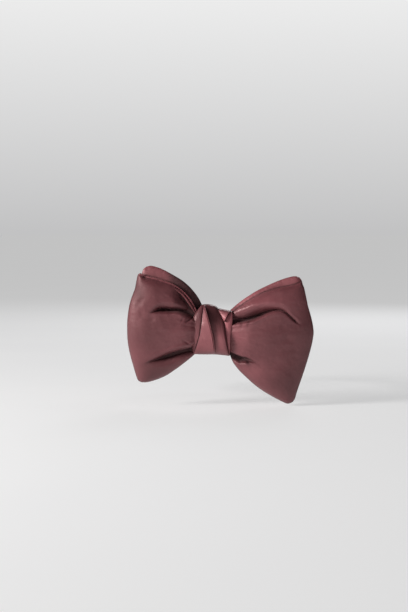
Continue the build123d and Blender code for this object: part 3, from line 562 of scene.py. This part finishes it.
front_left = wing("front_bow_left", LF, -1, 11.6, 8.0, 1.6, 13.0, 5.0, front_left_relief, seed=3.0, bead=0.45, root_level=0.70)
front_right = wing("front_bow_right", RF, 1, 11.6, 8.4, 1.6, 15.0, 5.0, front_right_relief, seed=11.0, fall=0.40, bead=0.0, root_level=0.60, root_to=27.0)
back_left = wing("back_bow_left", LB, -1, 7.4, 2.2, 1.6, 5.5, 4.0, back_relief, nu=100, nv=110, seed=23.0, root_front=8.6)
back_right = wing("back_bow_right", RB, 1, 7.4, 2.2, 1.6, 5.5, 4.0, back_relief, nu=100, nv=110, seed=31.0, root_front=8.6)
for o, names in (
    (front_left, ("front_bow_face_panel", "front_bow_rear_panel")),
    (front_right, ("front_bow_face_panel", "front_bow_rear_panel")),
    (back_left, ("back_bow_face_panel", "back_bow_rear_panel")),
    (back_right, ("back_bow_face_panel", "back_bow_rear_panel")),
):
    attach(o, ROOT)
    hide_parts(*names)

# ------------------------------------------------------------------ knot


KNOT = dict(
    left=[(-12.6, -17.2), (-13.6, -13.0), (-14.1, -8.0), (-14.1, -2.0), (-13.8, 4.2), (-13.1, 8.0), (-12.2, 10.5), (-11.0, 12.8)],
    top=[(-11.0, 12.8), (-9.2, 15.4), (-7.2, 17.4), (-4.0, 17.9), (-0.8, 17.7), (2.6, 16.7), (4.4, 15.2), (7.5, 14.5), (10.7, 13.9), (13.9, 13.2)],
    right=[(12.3, -18.4), (12.3, -12.0), (12.6, -4.2), (13.3, 2.0), (13.9, 6.0), (14.1, 10.0), (13.9, 13.2)],
    bottom=[(-12.6, -17.2), (-5.0, -17.4), (2.4, -17.4), (8.8, -18.0), (12.3, -18.4)],
)


def by_height(points, z):
    """X of a line given as (X, Z) points from the top down."""
    p = np.array(points[::-1], float)
    return np.interp(z, p[:, 1], p[:, 0])


def knot():
    nx, nz = 270, 250
    s = np.linspace(0, 1, nx)
    h = np.linspace(0, 1, nz)
    B, T = resample(KNOT["bottom"], s), resample(KNOT["top"], s)
    Lc, Rc = resample(KNOT["left"], h), resample(KNOT["right"], h)
    U, V = s[:, None, None], h[None, :, None]
    S = (1 - V) * B[:, None] + V * T[:, None] + (1 - U) * Lc[None] + U * Rc[None]
    S -= (1 - U) * (1 - V) * B[0] + (1 - U) * V * T[0] + U * (1 - V) * B[-1] + U * V * T[-1]
    X, Z = S[..., 0], S[..., 1]
    k = np.broadcast_to(2 * h[None, :] - 1, X.shape)
    q = np.broadcast_to(2 * s[:, None] - 1, X.shape)
    # the wrap goes round a flat pad: the section bulges in front and is nearly flat behind
    side = 9.6
    front = side + 10.7 * (1 - np.abs(k) ** 2.7) ** (1 / 2.7)
    back = side - 9.6 * (1 - np.abs(k) ** 5.0) ** (1 / 5.0)
    l1 = by_height([(-5.7, 17.6), (-6.5, 12.4), (-7.1, 6.0), (-8.7, -4.1), (-10.3, -9.2), (-12.9, -16.4)], Z)
    l2 = by_height([(-5.5, 18.0), (-3.9, 13.0), (-1.4, 4.8), (0.8, -4.1), (1.8, -12.4), (2.4, -17.4)], Z)
    l3 = by_height([(3.6, 16.2), (4.3, 14.0), (6.2, 9.9), (8.1, 6.0), (9.1, -1.6), (10.1, -9.2), (11.6, -15.6), (12.2, -18.4)], Z)
    l4 = by_height([(13.4, 14.0), (11.3, 11.1), (9.5, 8.0), (8.6, 6.6), (8.15, 5.9)], Z)
    up = smoothstep(-8.0, 12.0, Z)
    dd = np.zeros_like(X)
    # left leaf: tucked under, its top turned up and away
    n1 = X - l1
    leaf = n1 < 0
    width = np.maximum(l1 + 14.0, 1.0)
    t = np.clip(-n1 / width, 0, 1)
    dd += np.where(leaf, -2.4 - (1.4 - 0.4 * up) * t ** 1.3 - 0.9 * up * (1 - t), 0)
    dd -= np.where(leaf, 0.9 * np.exp(n1 / 0.35), 0)
    # the triangle between the first two folds climbs to the sharp fold
    w12 = np.maximum(l2 - l1, 0.6)
    t12 = np.clip(n1 / w12, 0, 1)
    tri = (n1 >= 0) & (X <= l2)
    dd += np.where(tri, -2.4 + 4.0 * t12, 0)
    # the wide face lies under the sharp fold; its upper half turns away to the right
    n2 = X - l2
    w23 = np.maximum(l3 - l2, 0.6)
    t23 = np.clip(n2 / w23, 0, 1)
    wide = (n2 > 0) & (X <= l3)
    drop = -2.3 * smoothstep(0.0, 0.5, n2) * (0.8 + 0.2 * up)
    dd += np.where(wide, 1.6 + drop + (1 - up) * 1.6 * t23 ** 0.9 - up * 2.4 * t23 ** 1.2, 0)
    # two stitched edges along the sharp fold
    dd += 0.34 * np.exp(-(((n2 + 0.22) / 0.17) ** 2)) + 0.26 * np.exp(-(((n2 + 0.98) / 0.17) ** 2))
    dd -= 0.42 * np.exp(-(((n2 + 0.60) / 0.16) ** 2))
    # beyond the third line: the small triangle at the top right and the long sliver at the edge
    n3 = X - l3
    w34 = np.maximum(l4 - l3, 0.5)
    small = (n3 > 0) & (X <= l4) & (Z > 5.9)
    base = -1.4 + 1.2 * (1 - up)
    dd += np.where(small, base - 1.6 + 3.0 * np.clip(n3 / w34, 0, 1), 0)
    sliver = (n3 > 0) & ~small
    edge = np.where(Z > 5.9, l4, l3)
    ws = np.maximum(14.2 - edge, 0.6)
    ts = np.clip((X - edge) / ws, 0, 1)
    dd += np.where(sliver, base - 1.7 + 2.1 * ts, 0)
    dd -= 0.9 * np.exp(-np.abs(n3) / 0.28) + 0.5 * np.exp(-np.abs(n3) / 0.9)
    n4 = np.where(Z > 5.9, X - l4, 9.0)
    dd -= 0.8 * np.exp(-np.abs(n4) / 0.26)
    # painted light and shade: each face of the wrap gets its own painted brightness
    fo = np.zeros_like(X)
    fo = np.where(leaf, -0.20 + 0.40 * up, fo)
    fo = np.where(tri, -0.42 - 0.10 * np.exp(-n1 / 3.0), fo)
    fo = np.where(wide, 0.62 * up - 0.58 * (1 - up) - 0.20 * up * t23, fo)
    fo = np.where(small, -1.45, fo)
    fo = np.where(sliver, -1.55, fo)
    # painted shade along the fold lines of the wrap
    for line_shade, mask in (
        (0.82, np.exp(-np.abs(n1 + 0.1) / 0.30)),
        (0.80, np.where(n2 > 0, np.exp(-n2 / 0.9), 0)),
        (0.72, np.exp(-(((n2 + 0.60) / 0.17) ** 2))),
        (0.86, np.exp(-np.abs(n3) / 0.36)),
        (0.80, np.exp(-np.abs(n4) / 0.30)),
    ):
        fo = fo * (1 - mask) + line_shade * mask
    # the cloth is a little slack between the folds, with fine strain lines along them
    dd += 0.14 * field(X, Z, 0.16, 51.0)
    dd += 0.07 * field((X - 0.24 * -Z) * 3.0, Z * 0.35, 0.33, 52.0)
    # rounded flanks
    flank = 1.8 * np.clip(-q, 0, 1) ** 12 + 2.2 * np.clip(q, 0, 1) ** 7
    hold = (1 - np.abs(k) ** 6.0)
    front = np.maximum(front + dd * (0.30 + 0.70 * hold) * hold ** 0.3 - flank * hold, side + 0.02)
    # behind, the wrap is sewn down the middle: a shallow dip and a turned edge
    seam_x = 0.9 + 0.35 * np.sin(Z * 0.18)
    nb = X - seam_x
    back = back + (np.where(nb > 0, 0.55 * np.exp(-np.abs(nb) / 2.5), 0.0) + 0.25 * np.exp(-((nb / 0.3) ** 2))) * hold
    back = back + (0.9 * np.abs(q) ** 6 + 0.12 * (1 + field(X, Z, 0.18, 57.0))) * hold
    back = np.clip(back, 0.02, side - 0.02)
    ring = np.concatenate([np.stack([X, -front, Z], -1), np.stack([X, -back, Z], -1)[:, ::-1][:, 1:-1]], 1)
    na = ring.shape[1]
    painted_light_values = list(np.concatenate([fo * hold, np.zeros_like(fo)[:, 1:-1]], 1).ravel())
    verts = list(ring.reshape(-1, 3) * MM)
    per = np.concatenate([h * 36.0, 36.0 + (1 - h[::-1][1:-1][::-1]) * 0 + np.linspace(0, 36.0, nz - 2)])
    uvs = list(np.stack([ring[..., 0], np.broadcast_to(per[None, :], ring.shape[:2])], -1).reshape(-1, 2) * MM)
    idx = np.arange(nx * na).reshape(nx, na)
    faces = []
    for i in range(nx - 1):
        for j in range(na):
            m = (j + 1) % na
            faces.append((idx[i, j], idx[i, m], idx[i + 1, m], idx[i + 1, j]))
    # the two raw ends are turned in and run back inside
    mid_y, mid_z = -9.6, 0.0
    for end, i in ((-1, 0), (1, nx - 1)):
        prev = idx[i]
        for dx, keep in ((0.35, 0.975), (0.25, 0.93), (-0.5, 0.89), (-4.0, 0.86)):
            new = []
            for j in range(na):
                x0, y0, z0 = ring[i, j]
                new.append(len(verts))
                verts.append(np.array([x0 + end * dx, mid_y + (y0 - mid_y) * keep, mid_z + (z0 - mid_z) * keep]) * MM)
                uvs.append(np.array([x0 + end * (dx + 1), per[j]]) * MM)
            for j in range(na):
                m = (j + 1) % na
                faces.append((prev[j], prev[m], new[m], new[j]))
            prev = new
        if end == -1:
            left_ring = prev
        else:
            right_ring = prev
    for j in range(na):
        m = (j + 1) % na
        faces.append((left_ring[j], left_ring[m], right_ring[m], right_ring[j]))
    painted_light_values += [0.0] * (len(verts) - len(painted_light_values))
    o = new_object("knot", verts, [tuple(int(f) for f in fc) for fc in faces], SATIN, uvs)
    put_fold(o, painted_light_values)
    outward(o)
    return o


kn = knot()
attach(kn, ROOT)
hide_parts("knot_wrap", "knot_pad")

for n in ("front_bow_wadding_left", "front_bow_wadding_right", "front_bow_interlining"):
    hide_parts(n)
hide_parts("back_bow_interlining")

# ------------------------------------------------------------------ neckband
RB_, YC, TURN, BT, BZ, BH = 61.2, 57.5, 1.28, 1.2, -3.0, 15.0
R_PIV, R_BAR = RB_ + TURN, RB_ + 3 * TURN
A_EYE = 60.0
A_HOOK = A_EYE + 2 * math.degrees(math.asin(12.0 / R_PIV))
A_SLIDE = A_HOOK + 24.0


def polar(a, r):
    return (r * math.sin(math.radians(a)), YC - r * math.cos(math.radians(a)))


def run(a0, a1, r, step=0.45):
    n = max(2, int(abs(a1 - a0) * math.pi / 180 * r / step))
    return [polar(a0 + (a1 - a0) * k / n, r) for k in range(n + 1)]


def fold(a, r, s, back=False):
    """Half a turn round a bar, from the inner side to the outer one, or the other way."""
    cx, cy = polar(a, r)
    q = math.radians(a)
    nx, ny, tx, ty = math.sin(q), -math.cos(q), s * math.cos(q), s * math.sin(q)
    out = []
    for k in range(1, 16):
        w = math.pi * k / 16
        out.append((cx + TURN * (-math.cos(w) * nx + math.sin(w) * tx), cy + TURN * (-math.cos(w) * ny + math.sin(w) * ty)))
    return out[::-1] if back else out


def strap(name, path, seed, tuck_start=0.0, outward_left=True):
    """A flat tube of satin along a line in plan: pressed edges, a row of stitches near each edge, slight ripples."""
    p = np.array(path, float)
    keep = np.concatenate([[True], np.linalg.norm(np.diff(p, axis=0), axis=1) > 1e-4])
    p = p[keep]
    t = np.gradient(p, axis=0)
    t /= np.linalg.norm(t, axis=1)[:, None]
    n = np.stack([t[:, 1], -t[:, 0]], 1)
    s = np.concatenate([[0], np.cumsum(np.linalg.norm(np.diff(p, axis=0), axis=1))])
    # section: across is -1..1 of the half height, side is +1 outer, -1 inner
    m = 23
    w = np.linspace(-1, 1, m)
    w = np.sign(w) * (1 - (1 - np.abs(w)) ** 1.35)
    half = BH / 2
    prof = []
    for side in (1, -1):
        for v in (w if side == 1 else w[::-1][1:-1]):
            prof.append((v, side))
    prof = np.array(prof)
    v, side = prof[:, 0], prof[:, 1]
    hz = v * half
    edge = np.clip((half - np.abs(hz)) / 0.55, 0, 1)
    thick = (BT / 2) * np.sqrt(np.clip(1 - (1 - edge) ** 2, 0, 1))
    row = np.exp(-(((np.abs(hz) - (half - 1.5)) / 0.28) ** 2))
    verts, uvs = [], []
    L = s[-1]
    for i in range(len(p)):
        sag = np.array([noise.noise((s[i] * 0.11, q * 0.9, seed)) for q in v]) * 0.05
        stitch = 0.05 + 0.13 * (0.5 + 0.5 * math.cos(2 * math.pi * s[i] / 2.2))
        th = thick - row * stitch * (BT / 2)
        body = 0.03 * np.cos(v * math.pi) * edge
        k = 1.0
        if tuck_start and s[i] < tuck_start:
            k = 0.80
        off = side * th * k + sag * edge + side * body
        off = np.clip(off, -BT / 2, BT / 2)
        wob = 1 + 0.004 * math.sin(s[i] * 0.21 + seed)
        zz = BZ + np.clip(hz * wob * (0.97 if k < 1 else 1.0), -half, half)
        for j in range(len(v)):
            verts.append((np.array([p[i, 0] + n[i, 0] * off[j], p[i, 1] + n[i, 1] * off[j], zz[j]])) * MM)
            uvs.append((s[i] * MM, (hz[j] + (40 if side[j] < 0 else 0)) * MM))
    c = len(v)
    faces = []
    for i in range(len(p) - 1):
        for j in range(c):
            e = (j + 1) % c
            faces.append((i * c + j, i * c + e, (i + 1) * c + e, (i + 1) * c + j))
    faces.append(tuple(range(c)))
    faces.append(tuple(range((len(p) - 1) * c, len(p) * c)))
    o = new_object(name, verts, faces, SATIN, uvs)
    outward(o)
    return o


main_path = run(A_EYE - 10.0, A_EYE, RB_ + 2 * TURN) + fold(A_EYE, R_PIV, 1, back=True) + run(A_EYE, A_HOOK - 360.0, RB_) \
    + fold(A_HOOK, R_PIV, -1) + run(A_HOOK, A_HOOK + 3.0, RB_ + 2 * TURN)
main_strap = strap("neckband", main_path, 5.0)
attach(main_strap, ROOT)
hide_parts("neckband_cover")

A_END = A_SLIDE - 8.0
end_path = run(A_HOOK + 2.2, A_SLIDE, RB_ + 2 * TURN) + fold(A_SLIDE, R_BAR, 1) + run(A_SLIDE, A_END + 0.6, RB_ + 4 * TURN)
end_strap = strap("neckband_sewn_run", end_path, 9.0, tuck_start=0.95)
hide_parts("neckband_return_run", "neckband_sewn_end")
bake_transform(end_strap)


def bead(verts, faces, uvs, c, a, b, n, length, width, height):
    """One stitch lying on the cloth: a short rounded thread along a, wide along b, standing out along n, slightly twisted."""
    c, a, b, n = (np.array(q, float) for q in (c, a, b, n))
    base = len(verts)
    rings, segs = 9, 10
    for i in range(rings):
        u = -1 + 2 * i / (rings - 1)
        r = math.sqrt(max(0.0, 1 - abs(u) ** 3.0)) * 0.92 + 0.08
        lift = 0.35 * (1 - u * u)
        for j in range(segs):
            w = 2 * math.pi * j / segs
            ply = 1 + 0.10 * math.cos(2 * w + u * 7.0)
            q = c + a * (u * length / 2) + b * (math.cos(w) * width / 2 * r * ply) + n * ((math.sin(w) * r * ply + lift) * height / 2)
            verts.append(q * MM)
            uvs.append((u * length * MM, w * 0.2 * MM))
    for i in range(rings - 1):
        for j in range(segs):
            k = (j + 1) % segs
            faces.append((base + i * segs + j, base + i * segs + k, base + (i + 1) * segs + k, base + (i + 1) * segs + j))
    faces.append(tuple(base + j for j in range(segs)))
    faces.append(tuple(base + (rings - 1) * segs + j for j in range(segs)))


def stitches(name, items, node, body):
    verts, faces, uvs = [], [], []
    for it in items:
        bead(verts, faces, uvs, *it)
    o = new_object(name, verts, faces, THREAD, uvs)
    outward(o)
    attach(o, body)
    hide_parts(node)
    return o


def radial_row(a, r, zs, inner, length=1.5, tilt=0.0):
    q = math.radians(a)
    n = np.array([math.sin(q), -math.cos(q), 0]) * (-1 if inner else 1)
    t = np.array([math.cos(q), math.sin(q), 0])
    x, y = polar(a, r)
    d = np.array([0, 0, 1.0]) * math.cos(tilt) + t * math.sin(tilt)
    e = np.cross(n, d)
    return [((x, y, z), d, e, n, length, 0.5, 0.42) for z in zs]


seven = [BZ - 6.0 + 2.0 * i for i in range(7)]
five = [BZ - 4.0 + 2.0 * i for i in range(5)]
stitches("eye_fold_bar_tack", radial_row(A_EYE - 7.0, RB_ + 2 * TURN + BT / 2, seven, False) + radial_row(A_EYE - 7.0, RB_ - BT / 2, seven, True),
         "eye_fold_stitches", ROOT)
stitches("sewn_end_bar_tack", radial_row(A_SLIDE - 5.6, RB_ + 4 * TURN + BT / 2, seven, False) + radial_row(A_SLIDE - 5.6, RB_ + 2 * TURN - BT / 2, seven, True),
         "sewn_end_stitches", "slider")
stitches("tab_stitches", radial_row(193.0, RB_ - BT / 2 - 0.55, five, True) + radial_row(209.0, RB_ - BT / 2 - 0.55, five, True),
         "label_stitches", ROOT)


def islands(node):
    """Middle and size of each separate thread of a CAD node, in mm."""
    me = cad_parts[node].data
    bm = bmesh.new()
    bm.from_mesh(me)
    bmesh.ops.remove_doubles(bm, verts=bm.verts, dist=1e-6)
    left, out = set(bm.verts), []
    while left:
        v0 = min(left, key=lambda q: q.index)
        stack, group = [v0], []
        left.discard(v0)
        while stack:
            q = stack.pop()
            group.append(q.co.copy())
            for ed in q.link_edges:
                w = ed.other_vert(q)
                if w in left:
                    left.discard(w)
                    stack.append(w)
        g = np.array(group) / MM
        out.append(((g.min(0) + g.max(0)) / 2, g.max(0) - g.min(0), g.min(0), g.max(0)))
    bm.free()
    return out


knot_surface = BVHTree.FromPolygons([v.co.copy() for v in kn.data.vertices], [tuple(f.vertices) for f in kn.data.polygons])
items = []
for c, size, lo, hi in islands("knot_seam_stitches"):
    hit = knot_surface.ray_cast(Vector((c[0] * MM, 0.010, c[2] * MM)), Vector((0, -1, 0)))[0]
    cy = min(hit.y / MM - 0.02, -0.23) if hit is not None else -0.30
    items.append(((c[0], cy, c[2]), (0.35, 0, 0.94), (0.94, 0, -0.35), (0, 1, 0), max(1.3, size[2] * 0.9), 0.5, 0.34))
stitches("knot_back_stitches", items, "knot_seam_stitches", ROOT)
items = []
for c, size, lo, hi in islands("neckband_tack_stitches"):
    n = (0, 1, 0)
    items.append(((c[0], hi[1] - 0.2, c[2]), (0, 0, 1), (1, 0, 0), n, max(1.2, size[2]), 0.5, 0.36))
    items.append(((c[0], lo[1] + 0.2, c[2]), (0, 0, 1), (1, 0, 0), (0, -1, 0), max(1.2, size[2]), 0.5, 0.36))
stitches("neckband_tacks", items, "neckband_tack_stitches", ROOT)


def tab():
    """A blank woven tab sewn flat inside the band: turned ends, selvedges, a faint rib."""
    na, nz = 90, 46
    verts, uvs, faces = [], [], []
    r_face, r_back = RB_ - BT / 2 - 0.55, RB_ - BT / 2 - 0.1
    for layer in (0, 1):
        for i in range(na):
            f = i / (na - 1)
            a = 192.0 + 18.0 * f
            for j in range(nz):
                g = j / (nz - 1)
                e = min(f, 1 - f) * 19.2 / 0.5
                h = min(g, 1 - g) * 11.0 / 0.4
                rnd = math.sqrt(1 - (1 - min(1, e, h)) ** 2) if min(e, h) < 1 else 1.0
                rib = 0.035 * math.sin(g * 11.0 * 2 * math.pi / 0.9) * min(1, e, h)
                turned = 0.06 * (1 if 0.6 < min(f, 1 - f) * 19.2 < 1.9 else 0)
                mid = (r_face + r_back) / 2
                r = mid - (mid - r_face) * rnd + rib + 0.02 - turned * 0.5 if layer == 0 else mid + (r_back - mid) * rnd
                x, y = polar(a, max(r_face, min(r, r_back)))
                verts.append(np.array([x, y, BZ - 5.5 + 11.0 * g]) * MM)
                uvs.append(((f * 19.2) * MM, (g * 11.0 + 15 * layer) * MM))
    for layer in (0, 1):
        o = layer * na * nz
        for i in range(na - 1):
            for j in range(nz - 1):
                q = (o + i * nz + j, o + i * nz + j + 1, o + (i + 1) * nz + j + 1, o + (i + 1) * nz + j)
                faces.append(q if layer == 0 else q[::-1])
    rim = [(i, 0) for i in range(na)] + [(na - 1, j) for j in range(1, nz)] + [(i, nz - 1) for i in range(na - 2, -1, -1)] + [(0, j) for j in range(nz - 2, 0, -1)]
    for k in range(len(rim)):
        (i0, j0), (i1, j1) = rim[k], rim[(k + 1) % len(rim)]
        p0, p1 = i0 * nz + j0, i1 * nz + j1
        faces.append((p0, p1, p1 + na * nz, p0 + na * nz))
    o = new_object("woven_tab", verts, faces, LABEL, uvs)
    outward(o)
    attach(o, ROOT)
    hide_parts("label_tab")


tab()

# ------------------------------------------------------------------ nodes kept from the CAD model
for name, mat in (
    ("eye_ring", NICKEL), ("hook", NICKEL), ("slider_buckle", NICKEL),
    ("waist_binding_thread", THREAD), ("neckband_interlining", CANVAS),
):
    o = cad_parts[name]
    if not o.data.materials:
        o.data.materials.append(mat)
    for sl in o.material_slots:
        sl.material = mat
    if mat is NICKEL:
        bv = o.modifiers.new("rounded_edges", "BEVEL")
        bv.width, bv.segments, bv.limit_method, bv.angle_limit = 0.00014, 2, "ANGLE", math.radians(40)

# ------------------------------------------------------------------ stage, light, camera
scene = bpy.context.scene


def stage():
    """A wide pale floor."""
    floor_z, verts, faces = -0.0535, [(0, 0, -0.0535)], []
    radii = [0.4, 1.0, 2.5, 6.0, 14.0, 40.0]
    n = 72
    for r in radii:
        for k in range(n):
            a = 2 * math.pi * k / n
            verts.append((r * math.cos(a), r * math.sin(a), floor_z))
    for k in range(n):
        faces.append((0, 1 + k, 1 + (k + 1) % n))
    for i in range(len(radii) - 1):
        for k in range(n):
            m = (k + 1) % n
            faces.append((1 + i * n + k, 1 + (i + 1) * n + k, 1 + (i + 1) * n + m, 1 + i * n + m))
    m, nt, p = nodes_of("floor_paper")
    N, L = nt.nodes, nt.links
    tc = N.new("ShaderNodeTexCoord")
    n1 = N.new("ShaderNodeTexNoise"); n1.inputs["Scale"].default_value = 6
    L.new(tc.outputs["Object"], n1.inputs["Vector"])
    ramp = N.new("ShaderNodeValToRGB")
    ramp.color_ramp.elements[0].color = (0.44, 0.44, 0.45, 1); ramp.color_ramp.elements[1].color = (0.48, 0.48, 0.48, 1)
    L.new(n1.outputs["Fac"], ramp.inputs["Fac"]); L.new(ramp.outputs["Color"], p.inputs["Base Color"])
    p.inputs["Roughness"].default_value = 0.95
    p.inputs["Specular IOR Level"].default_value = 0.0
    p.inputs["Emission Color"].default_value = (1.0, 1.0, 1.0, 1)
    p.inputs["Emission Strength"].default_value = 0.52
    o = new_object("floor", verts, faces, m)


stage()


def area(name, loc, target, size, power, color=(1, 1, 1), size_y=None):
    l = bpy.data.lights.new(name, "AREA")
    l.energy, l.size, l.color = power, size, color
    if size_y:
        l.shape = "RECTANGLE"; l.size_y = size_y
    o = bpy.data.objects.new(name, l)
    scene.collection.objects.link(o)
    o.location = loc
    o.rotation_euler = (Vector(target) - Vector(loc)).to_track_quat("-Z", "Y").to_euler()
    return o


area("key", (-0.94, -0.44, 0.38), (0, 0, 0), 0.36, 12.5, (1.0, 0.985, 0.97))
area("fill", (0.15, -1.2, 0.25), (0, 0, 0), 0.8, 0.35, (0.97, 0.98, 1.0))
area("back", (0.30, 1.05, 0.60), (0, 0.06, 0), 0.5, 3.0, (0.97, 0.98, 1.0))

world = bpy.data.worlds.new("studio")
scene.world = world
world.use_nodes = True
wn, wl = world.node_tree.nodes, world.node_tree.links
wn.clear()
w_out = wn.new("ShaderNodeOutputWorld")
dim = wn.new("ShaderNodeBackground")
dim.inputs["Color"].default_value = (0.92, 0.93, 0.95, 1)
dim.inputs["Strength"].default_value = 0.05
pale = wn.new("ShaderNodeBackground")
w_tc = wn.new("ShaderNodeTexCoord")
w_sep = wn.new("ShaderNodeSeparateXYZ")
wl.new(w_tc.outputs["Generated"], w_sep.inputs["Vector"])
w_ramp = wn.new("ShaderNodeValToRGB")
w_ramp.color_ramp.elements[0].position = 0.0; w_ramp.color_ramp.elements[0].color = (0.54, 0.54, 0.545, 1)
w_ramp.color_ramp.elements[1].position = 0.16; w_ramp.color_ramp.elements[1].color = (0.84, 0.84, 0.84, 1)
wl.new(w_sep.outputs["Z"], w_ramp.inputs["Fac"])
wl.new(w_ramp.outputs["Color"], pale.inputs["Color"])
w_path = wn.new("ShaderNodeLightPath")
w_mix = wn.new("ShaderNodeMixShader")
wl.new(w_path.outputs["Is Camera Ray"], w_mix.inputs["Fac"])
wl.new(dim.outputs["Background"], w_mix.inputs[1])
wl.new(pale.outputs["Background"], w_mix.inputs[2])
wl.new(w_mix.outputs["Shader"], w_out.inputs["Surface"])
scene.view_settings.view_transform = "Standard"

cam = bpy.data.cameras.new("camera")
cam_o = bpy.data.objects.new("camera", cam)
scene.collection.objects.link(cam_o)
scene.camera = cam_o
EL = math.radians(3.0)
DIST = 1.0
cam.sensor_fit = "VERTICAL"
cam.sensor_height = 36.0
cam.lens = 36.0 * DIST / (612 * 0.00070)
aim = Vector((-0.0056, -0.012, 0.0168 * 1.0))
cam_o.location = aim + Vector((0, -math.cos(EL), math.sin(EL))) * DIST
cam_o.rotation_euler = (math.pi / 2 - EL, 0, 0)
cam.dof.use_dof = False
cam.clip_start = 0.01
